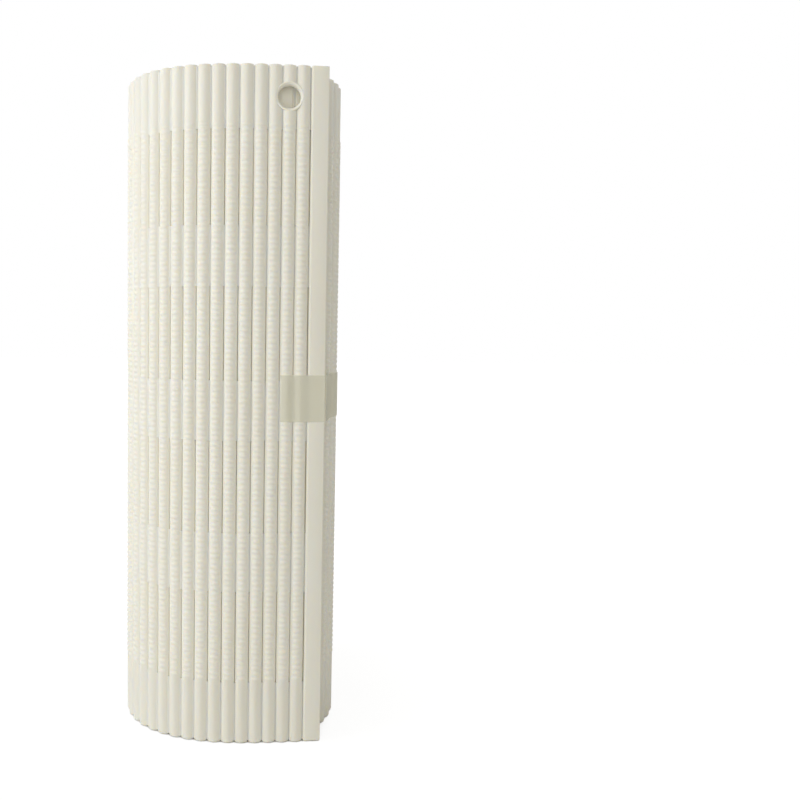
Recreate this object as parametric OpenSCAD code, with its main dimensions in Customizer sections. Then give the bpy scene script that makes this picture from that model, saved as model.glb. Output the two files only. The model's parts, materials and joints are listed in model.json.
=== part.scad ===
// One-piece moulded sushi rolling mat, rolled once and taped, standing on end.
// The ribs run along Z. The crowned side faces out and the smooth food side faces in.
// Every rib turns on its neighbour about a living hinge: a round bead in a shallow seat.
// Elements are counted from the free edge of the flap: 0 is the outer strip,
// 1 to rib_count are the ribs, and the last one is the inner strip.

/* [Ribs] */
// Length of every rib and strip
rib_length = 240; // [180:1:270]
// Distance from one rib to the next
rib_pitch = 4.9; // [4.5:0.1:5.6]
// Open slot between two ribs
slot_gap = 0.5; // [0.4:0.05:0.7]
// Height of a rib's half-round crown above the web
crown_height = 1.8; // [1.4:0.1:2]
// Thickness of the web between two ribs
web_thickness = 0.8; // [0.6:0.05:1]
// Depth of the bevel at both ends of a rib's crown
end_bevel = 0.4; // [0.2:0.05:0.8]

/* [Hinge bands] */
// Height of the plain band at each end
end_band = 22; // [20:0.5:26]
// Length of each slot between two ribs
slot_length = 33; // [24:1:36]
// Rows of slots along a rib
slot_rows = 4; // [3:1:5]
// Radial clearance of a hinge bead in its seat
hinge_clearance = 0.03; // [0.02:0.01:0.06]

/* [Edge strips] */
// Width of the flat strip along each edge
strip_width = 6.2; // [5:0.1:8]
// Thickness of the edge strips
strip_thickness = 2; // [1.6:0.1:2.4]
// Rounding of a strip beside the first rib
strip_round = 0.8; // [0.4:0.1:1.2]

/* [Hanging eyelet] */
// Diameter of the hanging hole
hole_diameter = 8; // [6:0.5:8]
// Outer diameter of the moulded ring
ring_diameter = 10; // [9.5:0.5:11.5]
// Distance from the top end to the middle of the hole
hole_from_top = 10.8; // [9:0.1:14]
// How far the ring stays below the crowns
ring_drop = 0.3; // [0.1:0.1:0.8]

/* [Tape] */
// Height of the tape
tape_height = 16.5; // [12:0.5:19]
// Distance from the bottom end to the middle of the tape
tape_from_bottom = 124.5; // [60:0.5:180]
// Thickness of the tape
tape_thickness = 0.25; // [0.1:0.05:0.4]
// Gap between the tape's tail and the ribs that it lies on
tape_gap = 0.15; // [0.1:0.05:0.3]

/* [Roll] */
// Direction of the flap's free end, as an angle from +X
flap_heading = 185; // [180:0.5:188]

/* [Hidden] */
$fn = 64;
rib_count = 47;
last = rib_count + 1;
// Turn of each living hinge in degrees, by hinge number: flat at the flap, tighter on the left, at the back and at the inner end
turn_profile = [
    [2, 0], [3, 0.8], [4, 1.5], [6, 2.7], [12, 7.6], [14, 10.6], [18, 9.9],
    [24, 7.1], [34, 6.6], [42, 9.6], [48, 13.1]
];
// Ribs at the flap that the eyelet's ring and the tape hold as one stiff piece with the outer strip
stiff_ribs = 3;
eyelet_index = 2;
// Rib that the tape's tail reaches first, and how many more it lies on
tail_index = 44;
tail_cover = 3;

rib_width = rib_pitch - slot_gap;
hinge_inset = slot_gap / 2;
bead_radius = web_thickness / 2;
strip_reach = strip_width + hinge_inset;
web_top = web_thickness / 2;
web_bottom = -web_thickness / 2;
crown_top = web_top + crown_height;
// The crown is an arc as wide as the rib
crown_radius = (pow(rib_width / 2, 2) + pow(crown_height, 2)) / (2 * crown_height);
crown_centre = crown_top - crown_radius;
strip_top = web_bottom + strip_thickness;
ring_top = crown_top - ring_drop;
inner_band = (rib_length - 2 * end_band - slot_rows * slot_length) / (slot_rows - 1);
margin = 1;

function rib_name(i) = i == eyelet_index ? "eyelet_rib" : str("rib_", i < 10 ? "0" : "", i);

// Sum of a list's first n entries
function sum_of(list, n, zero) = n == 0 ? zero : list[n - 1] + sum_of(list, n - 1, zero);

// Size of element i along the mat, from hinge line to hinge line
function reach(i) = i == 0 || i == last ? strip_reach : rib_pitch;

turns = [for (i = [1:last]) lookup(i, turn_profile)];
headings = [for (i = [0:last]) flap_heading - sum_of(turns, i, 0)];
runs = [for (i = [0:last]) reach(i) * [cos(headings[i]), sin(headings[i])]];
// Hinge lines in plan: point i is where element i starts
lines = [for (i = [0:last + 1]) sum_of(runs, i, [0, 0])];

// Point in plan at distance u along element i and height v above its hinge plane
function in_plan(i, u, v) = lines[i] + u * [cos(headings[i]), sin(headings[i])]
    + v * [-sin(headings[i]), cos(headings[i])];
// Middle of a rib's crown arc
function crown_middle(i) = in_plan(i, rib_pitch / 2, crown_centre);

// The tape runs from the strip's free edge straight to the ribs beneath, and then over their crowns
tape_middle = tape_thickness / 2;
tape_bead = 0.6 * tape_thickness;
tail_start = in_plan(0, -tape_bead, strip_top + tape_middle);
tail_lift = crown_top + tape_gap + tape_middle;
tail_path = concat(
    [tail_start],
    [for (k = [0:tail_cover]) in_plan(tail_index - k, rib_pitch / 2, tail_lift)]
);

// Outline of the roll in plan, from which the origin is set at the middle of its base
crowns = [for (i = [1:rib_count]) crown_middle(i)];
tape_edge = [for (p = tail_path) p[0] + tape_middle];
low_x = min([for (c = crowns) c[0] - crown_radius]);
low_y = min([for (c = crowns) c[1] - crown_radius]);
high_x = max(concat(tape_edge, [for (c = crowns) c[0] + crown_radius]));
high_y = max([for (c = crowns) c[1] + crown_radius]);
roll_centre = [(low_x + high_x) / 2, (low_y + high_y) / 2];

// Starts of the bands in which the web joins the ribs, with their heights
band_rise = slot_length + inner_band;
bands = concat(
    [[0, end_band], [rib_length - end_band, end_band]],
    [for (k = [1:slot_rows - 1]) [end_band + k * band_rise - inner_band, inner_band]]
);

module element(i) {
    translate([lines[i][0] - roll_centre[0], lines[i][1] - roll_centre[1], 0])
        rotate([0, 0, headings[i]])
            children();
}

// Rib section: a flat food face below and a crown arc above
module rib_section() {
    intersection() {
        translate([rib_pitch / 2, crown_centre]) circle(crown_radius);
        translate([hinge_inset, web_bottom]) square([rib_width, web_thickness + crown_height]);
    }
}

// Bevelled ends: the crown is cut back at both ends of the rib
module end_bevels() {
    side = (end_bevel + 2 * margin) * sqrt(2);
    for (z = [-margin, rib_length + margin])
        translate([0, crown_top + margin, z])
            rotate([45, 0, 0])
                translate([0, -side / 2, -side / 2]) cube([rib_pitch, side, side]);
}

// Round beads of the living hinge, in every band, about the hinge line at distance u
module hinge_beads(u) {
    for (band = bands)
        translate([u, 0, band[0]]) cylinder(h = band[1], r = bead_radius);
}

// Seats that the beads of the element before turn in
module hinge_seats(clearance) {
    for (band = bands)
        translate([0, 0, band[0] - margin])
            cylinder(h = band[1] + 2 * margin, r = bead_radius + clearance);
}

// Ribs that are moulded as one with the element before have their seats closed
function seat_clearance(i) = i <= stiff_ribs ? 0 : hinge_clearance;

module rib_body(i) {
    difference() {
        union() {
            linear_extrude(rib_length) rib_section();
            hinge_beads(rib_pitch);
        }
        hinge_seats(seat_clearance(i));
        end_bevels();
    }
}

// Cylinder square to the food face, about the hanging hole's axis
module about_hole(diameter, bottom, top) {
    element(eyelet_index)
        translate([rib_pitch / 2, bottom, rib_length - hole_from_top])
            rotate([-90, 0, 0]) cylinder(h = top - bottom, d = diameter);
}

module rib(i) {
    if (abs(i - eyelet_index) == 1)
        difference() {
            element(i) rib_body(i);
            about_hole(ring_diameter, web_bottom - margin, crown_top + margin);
        }
    else if (i == eyelet_index)
        eyelet();
    else
        element(i) rib_body(i);
}

// The second rib carries the hanging hole in a low round ring
module eyelet() {
    difference() {
        union() {
            difference() {
                element(eyelet_index) rib_body(eyelet_index);
                about_hole(ring_diameter, ring_top, crown_top + margin);
            }
            about_hole(ring_diameter, web_bottom, ring_top);
        }
        about_hole(hole_diameter, web_bottom - margin, crown_top + margin);
    }
}

// Strip section, from x = 0 at its rounded side to its square free edge
module strip_section() {
    difference() {
        translate([0, web_bottom]) square([strip_width, strip_thickness]);
        translate([0, strip_top - strip_round]) square(strip_round);
    }
    intersection() {
        translate([strip_round, strip_top - strip_round]) circle(strip_round);
        translate([0, strip_top - strip_round]) square(strip_round);
    }
}

module outer_strip() {
    element(0) {
        translate([strip_width, 0, 0]) mirror([1, 0, 0]) linear_extrude(rib_length) strip_section();
        hinge_beads(strip_reach);
    }
}

module inner_strip() {
    element(last)
        difference() {
            translate([hinge_inset, 0, 0]) linear_extrude(rib_length) strip_section();
            hinge_seats(hinge_clearance);
        }
}

// Normal of run k of a path, and the point beside a path's corner k at a distance square to its runs
function run_normal(path, k) = let (run = path[k + 1] - path[k]) [-run[1], run[0]] / norm(run);
function beside(path, k, distance) = let (
        before = run_normal(path, max(k - 1, 0)),
        after = run_normal(path, min(k, len(path) - 2))
    ) path[k] + distance * (before + after) / (1 + before * after);

// Flat film that stands on edge along a path in plan
module film(path) {
    ends = len(path) - 1;
    translate([0, 0, tape_from_bottom - tape_height / 2])
        linear_extrude(tape_height)
            polygon(concat(
                [for (k = [0:ends]) beside(path, k, tape_middle)],
                [for (k = [ends:-1:0]) beside(path, k, -tape_middle)]
            ));
}

// The tape's front lies on two ribs and the strip, whose planes are one
module tape_front() {
    crown_line = crown_top + tape_middle;
    strip_line = strip_top + tape_middle;
    element(0) film([
        [strip_reach + 2 * rib_pitch - hinge_inset, crown_line],
        [strip_reach + rib_pitch / 2 - crown_height / 2, crown_line],
        [strip_width - strip_round, strip_line],
        [hinge_clearance, strip_line]
    ]);
}

// The tape's tail crosses to the ribs of the turn beneath; it turns about a bead beside the strip's free edge
module tape_tail() {
    translate([-roll_centre[0], -roll_centre[1], 0]) {
        film(tail_path);
        translate([tail_start[0], tail_start[1], tape_from_bottom - tape_height / 2])
            cylinder(h = tape_height, r = tape_bead);
    }
}

color("#e0dac8") outer_strip();
for (i = [1:rib_count])
    color("#ece7da") rib(i);
color("#e0dac8") inner_strip();
color("#d3d6cf") tape_front();
color("#d3d6cf") tape_tail();
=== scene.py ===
"""A moulded plastic sushi rolling mat, rolled once and taped, standing on its end.

The mat is one soft moulding: 47 half-round ribs and two flat edge strips, joined by thin webs
in five bands. Each rib rides on its own body of the frame, so the mat unrolls at its webs.
"""

import json
import math
from contextlib import contextmanager

import bmesh
import bpy
from mathutils import Matrix, Vector


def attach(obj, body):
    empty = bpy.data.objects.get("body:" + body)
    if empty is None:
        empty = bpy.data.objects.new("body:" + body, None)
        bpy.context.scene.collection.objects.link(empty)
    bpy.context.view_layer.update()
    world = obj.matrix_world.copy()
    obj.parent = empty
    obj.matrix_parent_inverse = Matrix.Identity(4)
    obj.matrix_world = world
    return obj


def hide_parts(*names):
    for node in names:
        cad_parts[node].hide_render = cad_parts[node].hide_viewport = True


bl_info = {
    "name": "Sushi rolling mat",
    "version": (1, 0, 0),
    "blender": (4, 5, 0),
    "location": "View3D > Sidebar > Rolling mat",
    "description": "Builds the ribs, edge strips, hanging eyelet and tape of a rolled mat",
    "category": "Object",
}

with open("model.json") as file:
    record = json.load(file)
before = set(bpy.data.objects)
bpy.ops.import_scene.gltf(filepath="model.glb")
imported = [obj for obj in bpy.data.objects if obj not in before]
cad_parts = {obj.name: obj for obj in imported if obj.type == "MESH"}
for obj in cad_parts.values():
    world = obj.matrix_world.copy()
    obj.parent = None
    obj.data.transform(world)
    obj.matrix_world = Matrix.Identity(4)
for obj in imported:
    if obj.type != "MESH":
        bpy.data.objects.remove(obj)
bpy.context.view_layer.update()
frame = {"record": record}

MM = 0.001
# vertices closer than this are one
WELD = 0.001 * MM
# ribs that ride on one body with the outer strip, and the rib that carries the hanging eyelet
STIFF_RIBS = 3
EYELET = 2
# turns in degrees of the hinges within that body, which have no joint
STIFF_TURNS = {1: 0.0, 2: 0.0, 3: 0.8}
# the rib that the tape's tail reaches first, and how many more it lies on
TAIL_FIRST = 44
TAIL_COVER = 3


# ---- sizes and colours that a user would change


def millimetres(name, default, description):
    return bpy.props.FloatProperty(
        name=name, default=default * MM, description=description, unit="LENGTH", precision=5
    )


def tint(name, default, description):
    return bpy.props.FloatVectorProperty(
        name=name, default=default, description=description, subtype="COLOR", size=3, min=0, max=1
    )


def linear(value):
    """Linear red, green and blue of an sRGB hex colour."""
    parts = [int(value[k : k + 2], 16) / 255 for k in (1, 3, 5)]
    return tuple(c / 12.92 if c <= 0.04045 else ((c + 0.055) / 1.055) ** 2.4 for c in parts)


class MatSizes(bpy.types.PropertyGroup):
    length: millimetres("Rib length", 240, "Length of every rib and strip")
    pitch: millimetres("Rib pitch", 4.9, "Distance from one rib to the next")
    gap: millimetres("Slot gap", 0.5, "Open slot between two ribs")
    slit: millimetres("Slit", 0.1, "Slit seen between the flanks of two ribs")
    crown: millimetres("Crown height", 1.8, "Height of a rib's crown above the web")
    flank: millimetres(
        "Flank height", 0.7, "Height at which a rib's straight flank turns into its crown"
    )
    web: millimetres("Web thickness", 0.8, "Thickness of the web between two ribs")
    web_top: millimetres("Web top", 1.15, "Height of the valley floor between two crowns")
    web_lap: millimetres("Web lap", 0.1, "How far a rib's web reaches past its hinge line")
    web_short: millimetres("Web recess", 0.7, "How far the end webs stop short of the ribs")
    ridge_pitch: millimetres("Ridge pitch", 1.92, "Distance from one cross ridge to the next")
    ridge_height: millimetres("Ridge height", 0.22, "How far a cross ridge stands proud")
    ridge_start: millimetres("Ridges start", 23, "Height of the first cross ridge")
    ridge_end: millimetres("Ridges end", 221, "Height of the last cross ridge")
    end_round: millimetres("End rounding", 0.45, "Rounding of a rib's ends")
    strip: millimetres("Strip width", 6.2, "Width of each edge strip")
    strip_lap: millimetres("Strip lap", 0.25, "How far a strip's web reaches past its hinge line")
    strip_depth: millimetres("Strip thickness", 2, "Thickness of each edge strip")
    strip_round: millimetres("Strip rounding", 0.8, "Rounding of a strip beside its rib")
    end_band: millimetres("End band", 22, "Height of the plain band at each end")
    slot: millimetres("Slot length", 33, "Length of each slot between two ribs")
    hole: millimetres("Hole", 8, "Diameter of the hanging hole")
    ring: millimetres("Ring", 10, "Outer diameter of the moulded ring")
    ring_drop: millimetres("Ring drop", 0.3, "How far the ring stays below the crowns")
    ring_round: millimetres("Ring rounding", 0.25, "Rounding of the ring's outer edge")
    ring_flare: millimetres("Ring flare", 0.7, "Width and depth of the flare where the hole opens")
    hole_from_top: millimetres("Hole from top", 10.8, "Top end to the middle of the hole")


class TapeSizes(bpy.types.PropertyGroup):
    height: millimetres("Tape height", 16.5, "Height of the tape")
    middle: millimetres("Tape middle", 124.5, "Bottom end to the middle of the tape")
    film: millimetres("Film", 0.1, "Thickness of the film")
    sag: millimetres("Sag", 0.45, "How far the film dips between two crowns")


class MatColours(bpy.types.PropertyGroup):
    plastic: tint("Plastic", linear("#F3F1E7"), "Ivory white of the moulded plastic")
    plastic_deep: tint("Plastic, deep", linear("#EEEADC"), "Warmer ivory of its thick places")
    film: tint("Film", linear("#F3F2E9"), "Grey white of the frosted film")
    floor: tint("Floor", linear("#F4F4F2"), "Pale floor")


# ---- the roll's places, from the frame's own joints


def find_places(sizes):
    """Hinge lines in plan and the heading of each element, from the free edge of the flap."""
    joints = {}
    for joint in frame["record"]["behaviour"]["joints"]:
        joints[joint["name"]] = joint
    names = {12: "flap_lift", 25: "unroll"}
    ribs = len([b for b in frame["record"]["behaviour"]["bodies"] if b.startswith("rib_")])
    last = ribs + STIFF_RIBS + 1
    hinge = {k: joints[names.get(k, f"hinge_{k:02d}")] for k in range(STIFF_RIBS + 1, last + 1)}
    at = {k: Vector(hinge[k]["pos_m"][:2]) for k in hinge}
    step = at[STIFF_RIBS + 2] - at[STIFF_RIBS + 1]
    turn = {k: math.radians(-hinge[k]["range_deg"][0]) for k in hinge}
    turn.update({k: math.radians(v) for k, v in STIFF_TURNS.items()})
    heading = {STIFF_RIBS + 1: math.atan2(step.y, step.x)}
    for k in range(STIFF_RIBS + 2, last + 1):
        heading[k] = heading[k - 1] - turn[k]
    for k in range(STIFF_RIBS + 1, 0, -1):
        heading[k - 1] = heading[k] + turn[k]
    for k in range(STIFF_RIBS, -1, -1):
        reach = sizes.strip + sizes.gap / 2 if k == 0 else sizes.pitch
        at[k] = at[k + 1] - reach * Vector((math.cos(heading[k]), math.sin(heading[k])))
    return at, heading, last


def element_matrix(places, k):
    at, heading, _ = places
    return Matrix.Translation((at[k].x, at[k].y, 0)) @ Matrix.Rotation(heading[k], 4, "Z")


def node_name(k, last):
    if k in (0, last):
        return "outer_strip" if k == 0 else "inner_strip"
    return "eyelet_rib" if k == EYELET else f"rib_{k:02d}"


def body_name(k, last):
    return "flap_end" if k <= STIFF_RIBS else node_name(k, last)


def bands(sizes):
    """Lowest and highest z of each band in which webs join the ribs."""
    low = sizes.end_band
    inner = (sizes.length - 2 * low - 4 * sizes.slot) / 3
    starts = [low + sizes.slot + k * (inner + sizes.slot) for k in range(3)]
    inner_bands = [(s, s + inner) for s in starts]
    return (
        [(sizes.web_short, low)]
        + inner_bands
        + [(sizes.length - low, sizes.length - sizes.web_short)]
    )


# ---- modelling helpers


def deselect():
    if bpy.context.object and bpy.context.object.mode != "OBJECT":
        bpy.ops.object.mode_set(mode="OBJECT")
    bpy.ops.object.select_all(action="DESELECT")


def make_active(piece):
    deselect()
    piece.select_set(True)
    bpy.context.view_layer.objects.active = piece


@contextmanager
def editing(piece):
    make_active(piece)
    bpy.ops.object.mode_set(mode="EDIT")
    bpy.ops.mesh.select_mode(type="VERT")
    bpy.ops.mesh.select_all(action="DESELECT")
    yield
    bpy.ops.object.mode_set(mode="OBJECT")


def pick(kind, test):
    """Selects the vertices, edges or faces of the mesh in edit mode that pass a test."""
    bpy.ops.mesh.select_mode(type={"verts": "VERT", "edges": "EDGE", "faces": "FACE"}[kind])
    bpy.ops.mesh.select_all(action="DESELECT")
    shape = bmesh.from_edit_mesh(bpy.context.edit_object.data)
    shape.normal_update()
    found = 0
    for item in getattr(shape, kind):
        if test(item):
            item.select_set(True)
            found += 1
    shape.select_flush_mode()
    bmesh.update_edit_mesh(bpy.context.edit_object.data)
    if not found:
        raise RuntimeError(f"no {kind} were found in {bpy.context.edit_object.name}")


def box(name, low, high):
    """A primitive cube between two corners, with its place in its mesh."""
    deselect()
    middle = [(a + b) / 2 for a, b in zip(low, high)]
    bpy.ops.mesh.primitive_cube_add(size=1, location=middle)
    piece = bpy.context.object
    piece.name = name
    piece.scale = [b - a for a, b in zip(low, high)]
    bpy.ops.object.transform_apply(location=True, rotation=True, scale=True)
    return piece


def cut_at(axis, places):
    """Cuts the mesh in edit mode across an axis, so that its faces have edges there."""
    normal = [0, 0, 0]
    normal[axis] = 1
    for place in places:
        point = [0, 0, 0]
        point[axis] = place
        bpy.ops.mesh.select_all(action="SELECT")
        bpy.ops.mesh.bisect(plane_co=point, plane_no=normal, use_fill=False)


def apply_modifier(piece, kind, **settings):
    make_active(piece)
    modifier = piece.modifiers.new(kind.title(), kind)
    for key, value in settings.items():
        setattr(modifier, key, value)
    bpy.ops.object.modifier_apply(modifier=modifier.name)


def near(a, b, tolerance=0.01 * MM):
    return abs(a - b) < tolerance


def finish_piece(piece, node, body, material):
    make_active(piece)
    bpy.ops.object.transform_apply(location=True, rotation=True, scale=True)
    bpy.ops.object.shade_smooth_by_angle(angle=math.radians(40))
    piece.data.materials.clear()
    piece.data.materials.append(material)
    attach(piece, body)
    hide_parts(node)


def place_copy(master, name, matrix):
    """A copy of a master with its own mesh, moved to its place in the roll."""
    make_active(master)
    bpy.ops.object.duplicate(linked=False)
    piece = bpy.context.object
    piece.name = name
    piece.data.name = name
    piece.matrix_world = matrix
    bpy.ops.object.transform_apply(location=True, rotation=True, scale=True)
    return piece


def remove(*pieces):
    for piece in pieces:
        bpy.data.objects.remove(piece)


# ---- materials


def add_node(tree, kind, settings=None, links=None):
    """Adds a node, gives its properties and inputs their values, and links its inputs."""
    node = tree.nodes.new(kind)
    for key, value in (settings or {}).items():
        if isinstance(key, int) or key in node.inputs:
            node.inputs[key].default_value = value
        else:
            setattr(node, key, value)
    for key, socket in (links or {}).items():
        tree.links.new(socket, node.inputs[key])
    return node


def new_material(name):
    material = bpy.data.materials.new(name)
    material.use_nodes = True
    material.node_tree.nodes.clear()
    return material, material.node_tree


def moulded_plastic():
    """Soft injection-moulded polyethylene: milky, a little translucent, satin from the mould."""
    if "satin_moulded_polyethylene" in bpy.data.materials:
        return bpy.data.materials["satin_moulded_polyethylene"]
    colours = bpy.context.scene.mat_colours
    material, tree = new_material("satin_moulded_polyethylene")
    place = add_node(tree, "ShaderNodeTexCoord")
    # slow flow marks, stretched along the ribs, about 9 mm wide
    stretch = add_node(
        tree, "ShaderNodeMapping", {"Scale": (1, 1, 0.25)}, {"Vector": place.outputs["Object"]}
    )
    flow = add_node(
        tree,
        "ShaderNodeTexNoise",
        {"Scale": 110, "Detail": 3},
        {"Vector": stretch.outputs["Vector"]},
    )
    shade = add_node(
        tree,
        "ShaderNodeMix",
        {"data_type": "RGBA", 6: (*colours.plastic, 1), 7: (*colours.plastic_deep, 1)},
    )
    tree.links.new(flow.outputs["Fac"], shade.inputs[0])
    # satin grain of the mould, drawn at 0.5 mm so that it shows
    grain = add_node(
        tree,
        "ShaderNodeTexNoise",
        {"Scale": 2000, "Detail": 2},
        {"Vector": place.outputs["Object"]},
    )
    rough = add_node(
        tree,
        "ShaderNodeMapRange",
        {"To Min": 0.42, "To Max": 0.56},
        {"Value": flow.outputs["Fac"]},
    )
    bump = add_node(
        tree,
        "ShaderNodeBump",
        {"Strength": 0.25, "Distance": 0.02 * MM},
        {"Height": grain.outputs["Fac"]},
    )
    skin = add_node(
        tree,
        "ShaderNodeBsdfPrincipled",
        {
            "IOR": 1.5,
            "Subsurface Weight": 1.0,
            "Subsurface Radius": (1.0, 0.9, 0.7),
            "Subsurface Scale": 0.4 * MM,
        },
        {
            "Base Color": shade.outputs[2],
            "Roughness": rough.outputs["Result"],
            "Normal": bump.outputs["Normal"],
        },
    )
    add_node(tree, "ShaderNodeOutputMaterial", links={"Surface": skin.outputs["BSDF"]})
    return material


def frosted_film():
    """Frosted cellulose film: a thin clear sheet whose matt back greys what lies under it."""
    if "frosted_cellulose_film" in bpy.data.materials:
        return bpy.data.materials["frosted_cellulose_film"]
    colours = bpy.context.scene.mat_colours
    material, tree = new_material("frosted_cellulose_film")
    place = add_node(tree, "ShaderNodeTexCoord")
    # small creases where the film bridges two crowns
    crease = add_node(
        tree,
        "ShaderNodeTexNoise",
        {"Scale": 400, "Detail": 2},
        {"Vector": place.outputs["Object"]},
    )
    rough = add_node(
        tree,
        "ShaderNodeMapRange",
        {"To Min": 0.3, "To Max": 0.45},
        {"Value": crease.outputs["Fac"]},
    )
    bump = add_node(
        tree,
        "ShaderNodeBump",
        {"Strength": 0.2, "Distance": 0.03 * MM},
        {"Height": crease.outputs["Fac"]},
    )
    film = add_node(
        tree,
        "ShaderNodeBsdfPrincipled",
        {"Base Color": (*colours.film, 1), "IOR": 1.47, "Alpha": 0.45},
        {"Roughness": rough.outputs["Result"], "Normal": bump.outputs["Normal"]},
    )
    # light that the film lets through, spread by its frosting
    through = add_node(
        tree,
        "ShaderNodeBsdfTranslucent",
        {"Color": (*colours.film, 1)},
        {"Normal": bump.outputs["Normal"]},
    )
    mixed = add_node(
        tree,
        "ShaderNodeMixShader",
        {0: 0.4},
        {1: film.outputs["BSDF"], 2: through.outputs["BSDF"]},
    )
    add_node(tree, "ShaderNodeOutputMaterial", links={"Surface": mixed.outputs["Shader"]})
    return material


# ---- the ribs


# a crown's bevel: a profile of 0.5 is round, and less is more pointed
CROWN_PROFILE = 0.41
CROWN_SEGMENTS = 7
# shares of its pitch at which a cross ridge is full, starts to fall and ends
RIDGE_CUTS = (0.2, 0.5, 0.7)
# half width of a cross ridge, as a share of the rib pitch
RIDGE_REACH = 0.34


def crown_tube(sizes):
    """One length of rib with one cross ridge, open at both ends."""
    low = -sizes.web / 2
    top = sizes.web / 2 + sizes.crown - sizes.ridge_height
    crest = top + sizes.ridge_height
    half = crest - sizes.flank
    middle = sizes.pitch / 2
    start = sizes.ridge_start
    rise = sizes.ridge_pitch
    tube = box(
        "rib_master",
        (middle - half, low, start),
        (middle + half, crest, start + rise),
    )
    with editing(tube):
        pick(
            "edges",
            lambda e: all(near(v.co.y, crest) for v in e.verts)
            and near(e.verts[0].co.x, e.verts[1].co.x),
        )
        bpy.ops.mesh.bevel(
            offset=half, segments=CROWN_SEGMENTS, profile=CROWN_PROFILE, affect="EDGES"
        )
        bpy.ops.mesh.select_all(action="SELECT")
        bpy.ops.mesh.remove_doubles(threshold=WELD)
        pick("faces", lambda f: abs(f.normal.z) > 0.9)
        bpy.ops.mesh.delete(type="FACE")
        bpy.ops.mesh.select_all(action="SELECT")
        wide = (sizes.pitch - sizes.slit) / (2 * half)
        high = (top - sizes.flank) / half
        bpy.ops.transform.resize(value=(wide, 1, 1), center_override=(middle, 0, 0))
        pick("verts", lambda v: v.co.y > sizes.flank + 0.01 * MM)
        bpy.ops.transform.resize(value=(1, high, 1), center_override=(middle, sizes.flank, 0))
        cut_at(2, [start + f * rise for f in RIDGE_CUTS])
        first, second, _ = RIDGE_CUTS
        pick(
            "verts",
            lambda v: start + first / 2 * rise < v.co.z < start + (second + 0.1) * rise
            and abs(v.co.x - middle) < RIDGE_REACH * sizes.pitch
            and v.co.y > 0,
        )
        bpy.ops.transform.translate(value=(0, sizes.ridge_height, 0))
    return tube


def ridged_rib(sizes):
    """The master rib, flat in its own frame: x along the mat, y out of its crown, z along it."""
    rib = crown_tube(sizes)
    count = int((sizes.ridge_end - sizes.ridge_start) / sizes.ridge_pitch)
    apply_modifier(
        rib,
        "ARRAY",
        count=count,
        use_relative_offset=False,
        use_constant_offset=True,
        constant_offset_displace=(0, 0, sizes.ridge_pitch),
        use_merge_vertices=True,
        merge_threshold=2 * WELD,
    )
    finish = sizes.ridge_start + count * sizes.ridge_pitch
    with editing(rib):
        for place, run in (
            (sizes.ridge_start, -sizes.ridge_start),
            (finish, sizes.length - finish),
        ):
            pick("edges", lambda e: e.is_boundary and all(near(v.co.z, place) for v in e.verts))
            bpy.ops.mesh.extrude_region_move(TRANSFORM_OT_translate={"value": (0, 0, run)})
            bpy.ops.mesh.edge_face_add()
        bpy.ops.mesh.select_all(action="SELECT")
        bpy.ops.mesh.normals_make_consistent(inside=False)
        bpy.ops.mesh.dissolve_limited(angle_limit=math.radians(0.2))
        pick(
            "edges",
            lambda e: all(near(v.co.z, e.verts[0].co.z) for v in e.verts)
            and (near(e.verts[0].co.z, 0) or near(e.verts[0].co.z, sizes.length)),
        )
        bpy.ops.mesh.bevel(offset=sizes.end_round, segments=2, profile=0.5, affect="EDGES")
    # webs lap over the hinge lines, so that the valleys stay closed where the roll opens them
    lap = sizes.web_lap
    for start, end in bands(sizes):
        web = box("web", (-lap, -sizes.web / 2, start), (sizes.pitch + lap, sizes.web_top, end))
        apply_modifier(rib, "BOOLEAN", operation="UNION", object=web, solver="EXACT")
        remove(web)
    return rib


# sides of the ring and of its hole
ROUND_SIDES = 64
# how far the ring sinks into ribs 1 and 3
RING_LAP = 0.15 * MM
# the hole's flare: width at its bend, as a share of the whole, and slope above the bend
FLARE_BEND = 0.3
FLARE_SLOPE = 1.4


def cylinder(name, radius, low, high, middle):
    """A cylinder along y between two heights, about a point of the rib's frame."""
    deselect()
    bpy.ops.mesh.primitive_cylinder_add(
        vertices=ROUND_SIDES,
        radius=radius,
        depth=high - low,
        location=(middle[0], (low + high) / 2, middle[1]),
        rotation=(math.pi / 2, 0, 0),
    )
    piece = bpy.context.object
    piece.name = name
    bpy.ops.object.transform_apply(location=True, rotation=True, scale=True)
    return piece


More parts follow.
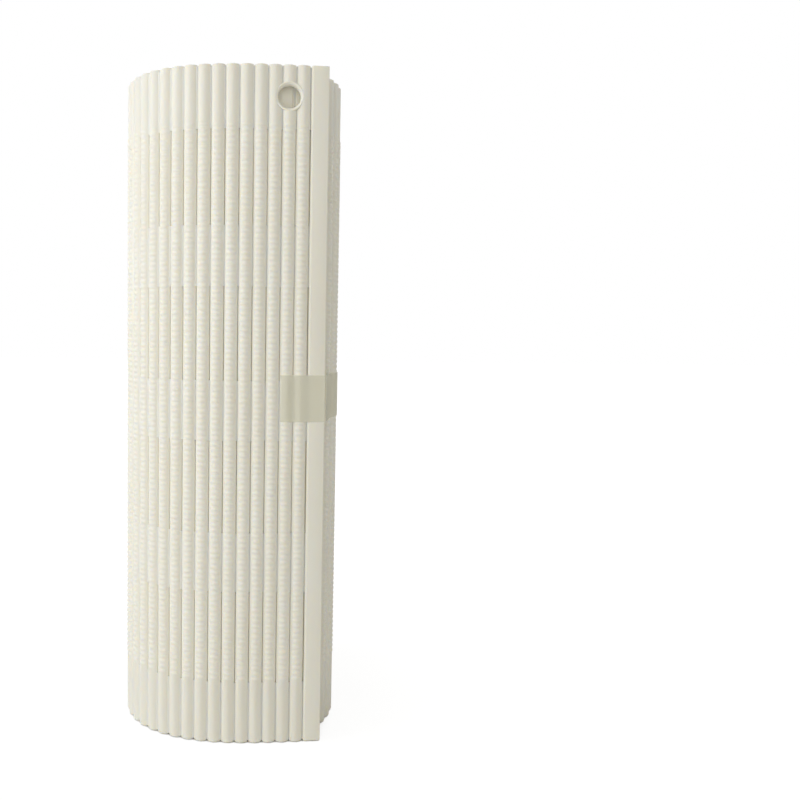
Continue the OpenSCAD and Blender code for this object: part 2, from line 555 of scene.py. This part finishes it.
def eyelet_ribs(sizes, master):
    """Ribs 1 to 3: the ring and its hole are cut into them and the ring is joined to rib 2."""
    top, low = sizes.web / 2 + sizes.crown, -sizes.web / 2
    z = sizes.length - sizes.hole_from_top
    made = {}
    for k in range(1, STIFF_RIBS + 1):
        piece = place_copy(master, node_name(k, 0), Matrix.Identity(4))
        middle = (sizes.pitch / 2 + (EYELET - k) * sizes.pitch, z)
        if k == EYELET:
            rim = top - sizes.ring_drop
            recess = cylinder("recess", sizes.ring / 2, rim, top + MM, middle)
            apply_modifier(piece, "BOOLEAN", operation="DIFFERENCE", object=recess, solver="EXACT")
            ring = cylinder("ring", sizes.ring / 2, low, rim, middle)
            with editing(ring):
                pick("edges", lambda e: all(near(v.co.y, rim) for v in e.verts))
                bpy.ops.mesh.bevel(offset=sizes.ring_round, segments=3, affect="EDGES")
            apply_modifier(piece, "BOOLEAN", operation="UNION", object=ring, solver="EXACT")
            hole = cylinder("hole", sizes.hole / 2, low - MM, top + MM, middle)
            with editing(hole):
                bend = rim - sizes.ring_flare / 2
                cut_at(1, [rim - sizes.ring_flare, bend])
                inner = FLARE_BEND * sizes.ring_flare
                outer = inner + FLARE_SLOPE * (top + MM - bend)
                for level, out in ((bend, inner), (top + MM, outer)):
                    pick("verts", lambda v: near(v.co.y, level))
                    wider = 1 + 2 * out / sizes.hole
                    bpy.ops.transform.resize(
                        value=(wider, 1, wider), center_override=(middle[0], 0, middle[1])
                    )
            apply_modifier(piece, "BOOLEAN", operation="DIFFERENCE", object=hole, solver="EXACT")
            remove(recess, ring, hole)
        else:
            seat = cylinder("seat", sizes.ring / 2 - RING_LAP, low - MM, top + MM, middle)
            apply_modifier(piece, "BOOLEAN", operation="DIFFERENCE", object=seat, solver="EXACT")
            remove(seat)
        made[k] = piece
    return made


class MAT_OT_ribs(bpy.types.Operator):
    """Build the 47 ribs, each with its cross ridges and hinge webs, and the hanging eyelet"""

    bl_idname = "rolling_mat.ribs"
    bl_label = "Ribs"

    def execute(self, context):
        sizes = context.scene.mat_sizes
        places = find_places(sizes)
        last = places[2]
        master = ridged_rib(sizes)
        made = eyelet_ribs(sizes, master)
        for k in range(1, last):
            matrix = element_matrix(places, k)
            name = node_name(k, last)
            if k in made:
                piece = made[k]
                piece.matrix_world = matrix
            else:
                piece = place_copy(master, name, matrix)
            piece.name = "plastic_" + name
            finish_piece(piece, name, body_name(k, last), moulded_plastic())
        remove(master)
        return {"FINISHED"}


# ---- the edge strips


# rounding of a strip's free edge and of its two ends
STRIP_EDGE_ROUND = 0.3 * MM
STRIP_END_ROUND = 0.35 * MM


def edge_strip(sizes, name):
    """A strip with its free edge at x = 0 and its hinge webs on the far side."""
    low = -sizes.web / 2
    high = low + sizes.strip_depth
    strip = box(name, (0, low, 0), (sizes.strip, high, sizes.length))
    with editing(strip):
        pick(
            "edges",
            lambda e: all(near(v.co.x, sizes.strip) and near(v.co.y, high) for v in e.verts),
        )
        bpy.ops.mesh.bevel(offset=sizes.strip_round, segments=5, profile=0.5, affect="EDGES")
        pick("edges", lambda e: all(near(v.co.x, 0) and near(v.co.y, high) for v in e.verts))
        bpy.ops.mesh.bevel(offset=STRIP_EDGE_ROUND, segments=3, profile=0.5, affect="EDGES")
        pick(
            "edges",
            lambda e: near(e.verts[0].co.z, e.verts[1].co.z) and e.calc_face_angle(0) > 1,
        )
        bpy.ops.mesh.bevel(offset=STRIP_END_ROUND, segments=2, profile=0.5, affect="EDGES")
        joined = bands(sizes)
        cut_at(2, sorted({z for band in joined for z in band}))
        cut_at(1, [sizes.web_top])
        pick(
            "faces",
            lambda f: f.normal.x > 0.8
            and f.calc_center_median().y < sizes.web_top
            and any(a < f.calc_center_median().z < b for a, b in joined),
        )
        reach = sizes.gap / 2 + sizes.strip_lap
        bpy.ops.mesh.extrude_region_move(TRANSFORM_OT_translate={"value": (reach, 0, 0)})
    return strip


class MAT_OT_strips(bpy.types.Operator):
    """Build the flat strips along the mat's outer and inner edges"""

    bl_idname = "rolling_mat.strips"
    bl_label = "Edge strips"

    def execute(self, context):
        sizes = context.scene.mat_sizes
        places = find_places(sizes)
        last = places[2]
        turned = Matrix.Translation((sizes.strip + sizes.gap / 2, 0, 0)) @ Matrix.Scale(
            -1, 4, (1, 0, 0)
        )
        for k, local in ((0, Matrix.Identity(4)), (last, turned)):
            name = node_name(k, last)
            strip = edge_strip(sizes, "plastic_" + name)
            strip.matrix_world = element_matrix(places, k) @ local
            make_active(strip)
            bpy.ops.object.transform_apply(location=True, rotation=True, scale=True)
            with editing(strip):
                bpy.ops.mesh.select_all(action="SELECT")
                bpy.ops.mesh.normals_make_consistent(inside=False)
            finish_piece(strip, name, body_name(k, last), moulded_plastic())
        return {"FINISHED"}


# ---- the tape


# shares of the tape's height at which it is cut, so that its drape is not one long face
FILM_CUTS = (0.04, 0.35, 0.65, 0.96)
# gap between the film and the plastic that it lies on, at the front and on the tail's crowns
FILM_GAP = 0.02 * MM
TAIL_GAP = 0.2 * MM
# points of the front over the ribs: the first in rib pitches past hinge 1, their step and number
FRONT_FIRST = 1.93
FRONT_STEP = 0.1
FRONT_POINTS = 17
# where the front comes down on the strip, from the strip's edge beside rib 1
FRONT_LANDING = 1.2 * MM
# how far the tail starts before the free edge
TAIL_START = 0.4 * MM


def film_strip(name, path, tape):
    """A film that stands on edge along a path in plan, given by its middle line."""
    low = tape.middle - tape.height / 2
    deselect()
    bpy.ops.mesh.primitive_plane_add(size=1, rotation=(math.pi / 2, 0, 0))
    film = bpy.context.object
    film.name = name
    bpy.ops.object.transform_apply(location=True, rotation=True, scale=True)
    with editing(film):
        pick("verts", lambda v: v.co.x > 0)
        bpy.ops.mesh.delete(type="VERT")
        bpy.ops.mesh.select_all(action="SELECT")
        bpy.ops.transform.resize(value=(1, 1, tape.height))
        bpy.ops.transform.translate(
            value=(path[0][0] + 0.5, path[0][1], low + tape.height / 2)
        )
        for before, after in zip(path, path[1:]):
            pick(
                "edges",
                lambda e: all((v.co.xy - before).length < WELD for v in e.verts),
            )
            step = after - before
            bpy.ops.mesh.extrude_region_move(
                TRANSFORM_OT_translate={"value": (step.x, step.y, 0)}
            )
        cut_at(2, [low + tape.height * f for f in FILM_CUTS])
    apply_modifier(film, "SOLIDIFY", thickness=tape.film, offset=0)
    with editing(film):
        bpy.ops.mesh.select_all(action="SELECT")
        bpy.ops.mesh.normals_make_consistent(inside=False)
    return film


def draped_path(crowns, sag, steps=6):
    """A path over crown tops that dips a little between them."""
    path = []
    for before, after in zip(crowns, crowns[1:]):
        run = after - before
        inward = Vector((-run.y, run.x)).normalized()
        for step in range(steps):
            t = step / steps
            path.append(before + t * run + inward * sag * math.sin(math.pi * t) ** 2)
    return path + [crowns[-1]]


class MAT_OT_tape(bpy.types.Operator):
    """Build the strip of frosted film that holds the flap down"""

    bl_idname = "rolling_mat.tape"
    bl_label = "Tape"

    def execute(self, context):
        sizes, tape = context.scene.mat_sizes, context.scene.tape_sizes
        places = find_places(sizes)
        top = sizes.web / 2 + sizes.crown
        strip_top = sizes.strip_depth - sizes.web / 2
        lift = tape.film / 2 + FILM_GAP

        def in_plan(k, u, v):
            return (element_matrix(places, k) @ Vector((u, v, 0))).xy

        edge = in_plan(0, 0, strip_top + lift)
        # the front follows the crowns of ribs 2 and 1, and then lies on the strip
        front = []
        for step in range(FRONT_POINTS):
            across = FRONT_FIRST - FRONT_STEP * step
            dip = tape.sag * math.cos(math.pi * across) ** 2
            front.append(in_plan(1, across * sizes.pitch, top + lift - dip))
        front += [in_plan(0, sizes.strip - FRONT_LANDING, strip_top + lift), edge]
        film = film_strip("film_front", front, tape)
        finish_piece(film, "tape_front", "flap_end", frosted_film())
        crowns = []
        for k in range(TAIL_COVER + 1):
            crowns.append(in_plan(TAIL_FIRST - k, sizes.pitch / 2, top + TAIL_GAP))
        start = edge + (edge - in_plan(0, TAIL_START, strip_top + lift))
        tail = film_strip("film_tail", [start] + draped_path(crowns, tape.sag), tape)
        finish_piece(tail, "tape_tail", "tape_tail", frosted_film())
        return {"FINISHED"}


# ---- the stage


# the camera's place and lens, fitted to the photo; it looks down and leans by these degrees
CAMERA_PLACE = (0.0145, -0.2964, 0.1467)
CAMERA_DOWN = 3.1
CAMERA_LEAN = 0.64
CAMERA_LENS = 33.7
# the photo has the roll left of its middle
CAMERA_SHIFT = (0.1625, -0.03)
# soft lamps: name, place, size, watts and colour
LAMPS = (
    ("key", (-1.0, -0.4, 0.5), (0.5, 0.6), 4.5, "#F2F6FF"),
    ("front", (-0.5, -1.0, 0.4), (0.7, 0.7), 1.8, "#FFFFFF"),
)
LAMP_AIM = (0, 0, 0.12)
FILL_STRENGTH = 0.53
FILL_COLOUR = "#FFFDF8"


def lamp(name, place, aim, size, power, colour):
    deselect()
    bpy.ops.object.light_add(type="AREA", location=place)
    light = bpy.context.object
    light.name = name
    light.data.shape = "RECTANGLE"
    light.data.size, light.data.size_y = size
    light.data.energy = power
    light.data.color = linear(colour)
    aim = Vector(aim) - Vector(place)
    light.rotation_euler = aim.to_track_quat("-Z", "Y").to_euler()


class MAT_OT_stage(bpy.types.Operator):
    """Set the pale floor, the soft studio lights and the camera"""

    bl_idname = "rolling_mat.stage"
    bl_label = "Stage"

    def execute(self, context):
        scene = context.scene
        deselect()
        bpy.ops.mesh.primitive_plane_add(size=8, location=(0, 0, -0.2 * MM))
        floor = context.object
        floor.name = "floor"
        bpy.ops.object.transform_apply(location=True)
        material, tree = new_material("pale_studio_paper")
        path = add_node(tree, "ShaderNodeLightPath")
        place = add_node(tree, "ShaderNodeTexCoord")
        far = add_node(
            tree, "ShaderNodeVectorMath", {"operation": "LENGTH"}, {0: place.outputs["Object"]}
        )
        open_sky = add_node(tree, "ShaderNodeAmbientOcclusion", {"samples": 16, "Distance": 0.1})
        paper = add_node(
            tree, "ShaderNodeBsdfDiffuse", {"Color": (*scene.mat_colours.floor, 1)}
        )
        white = add_node(tree, "ShaderNodeEmission", {"Color": (1, 1, 1, 1), "Strength": 1.1})
        # the paper is shaded inside the roll, takes the shadow around it, and is white far out
        around = add_node(
            tree,
            "ShaderNodeMapRange",
            {"From Min": 0.3, "From Max": 0.45, "To Min": 0.0, "To Max": 0.82},
            {"Value": open_sky.outputs["AO"]},
        )
        outside = add_node(
            tree,
            "ShaderNodeMapRange",
            {"From Min": 0.05, "From Max": 0.25, "To Min": 0.0, "To Max": 0.18},
            {"Value": far.outputs["Value"]},
        )
        fade = add_node(
            tree,
            "ShaderNodeMath",
            {"operation": "ADD"},
            {0: around.outputs["Result"], 1: outside.outputs["Result"]},
        )
        share = add_node(
            tree,
            "ShaderNodeMath",
            {"operation": "MULTIPLY"},
            {0: path.outputs["Is Camera Ray"], 1: fade.outputs["Value"]},
        )
        mixed = add_node(
            tree,
            "ShaderNodeMixShader",
            links={0: share.outputs[0], 1: paper.outputs[0], 2: white.outputs[0]},
        )
        add_node(tree, "ShaderNodeOutputMaterial", links={"Surface": mixed.outputs[0]})
        floor.data.materials.append(material)

        world = bpy.data.worlds.new("pale_studio")
        scene.world = world
        world.use_nodes = True
        tree = world.node_tree
        tree.nodes.clear()
        # white where the camera, a gloss or the film looks at it, and a soft fill for the rest
        path = add_node(tree, "ShaderNodeLightPath")
        seen = add_node(
            tree,
            "ShaderNodeMath",
            {"operation": "MAXIMUM"},
            {0: path.outputs["Is Camera Ray"], 1: path.outputs["Is Glossy Ray"]},
        )
        seen = add_node(
            tree,
            "ShaderNodeMath",
            {"operation": "MAXIMUM"},
            {0: seen.outputs[0], 1: path.outputs["Is Transmission Ray"]},
        )
        fill = add_node(
            tree,
            "ShaderNodeBackground",
            {"Color": (*linear(FILL_COLOUR), 1), "Strength": FILL_STRENGTH},
        )
        white = add_node(tree, "ShaderNodeBackground", {"Color": (1, 1, 1, 1), "Strength": 1})
        mixed = add_node(
            tree,
            "ShaderNodeMixShader",
            links={0: seen.outputs[0], 1: fill.outputs[0], 2: white.outputs[0]},
        )
        add_node(tree, "ShaderNodeOutputWorld", links={"Surface": mixed.outputs[0]})

        for name, spot, size, power, colour in LAMPS:
            lamp(name, spot, LAMP_AIM, size, power, colour)

        deselect()
        bpy.ops.object.camera_add(location=CAMERA_PLACE)
        camera = context.object
        camera.name = "camera"
        aim = Matrix.Rotation(math.radians(90 - CAMERA_DOWN), 4, "X")
        lean = Matrix.Rotation(math.radians(CAMERA_LEAN), 4, "Z")
        camera.rotation_euler = (aim @ lean).to_euler()
        camera.data.sensor_width = 36
        camera.data.lens = CAMERA_LENS
        camera.data.shift_x, camera.data.shift_y = CAMERA_SHIFT
        camera.data.clip_start = 0.01
        scene.camera = camera
        scene.view_settings.view_transform = "Standard"
        return {"FINISHED"}


class MAT_PT_panel(bpy.types.Panel):
    """Sizes, colours and pieces of the rolling mat"""

    bl_idname = "MAT_PT_panel"
    bl_label = "Rolling mat"
    bl_space_type = "VIEW_3D"
    bl_region_type = "UI"
    bl_category = "Rolling mat"

    def draw(self, context):
        scene = context.scene
        for group in (scene.mat_sizes, scene.tape_sizes, scene.mat_colours):
            column = self.layout.column(align=True)
            for name in group.__annotations__:
                column.prop(group, name)
        for operator in OPERATORS:
            self.layout.operator(operator.bl_idname)


OPERATORS = (MAT_OT_ribs, MAT_OT_strips, MAT_OT_tape, MAT_OT_stage)
GROUPS = {"mat_sizes": MatSizes, "tape_sizes": TapeSizes, "mat_colours": MatColours}


def register():
    for made in (*GROUPS.values(), *OPERATORS, MAT_PT_panel):
        bpy.utils.register_class(made)
    for name, group in GROUPS.items():
        setattr(bpy.types.Scene, name, bpy.props.PointerProperty(type=group))


def unregister():
    for name in GROUPS:
        delattr(bpy.types.Scene, name)
    for made in (MAT_PT_panel, *OPERATORS, *GROUPS.values()):
        bpy.utils.unregister_class(made)


def main():
    register()
    bpy.ops.rolling_mat.ribs()
    bpy.ops.rolling_mat.strips()
    bpy.ops.rolling_mat.tape()
    bpy.ops.rolling_mat.stage()
    bpy.context.view_layer.update()


if __name__ == "__main__":
    main()
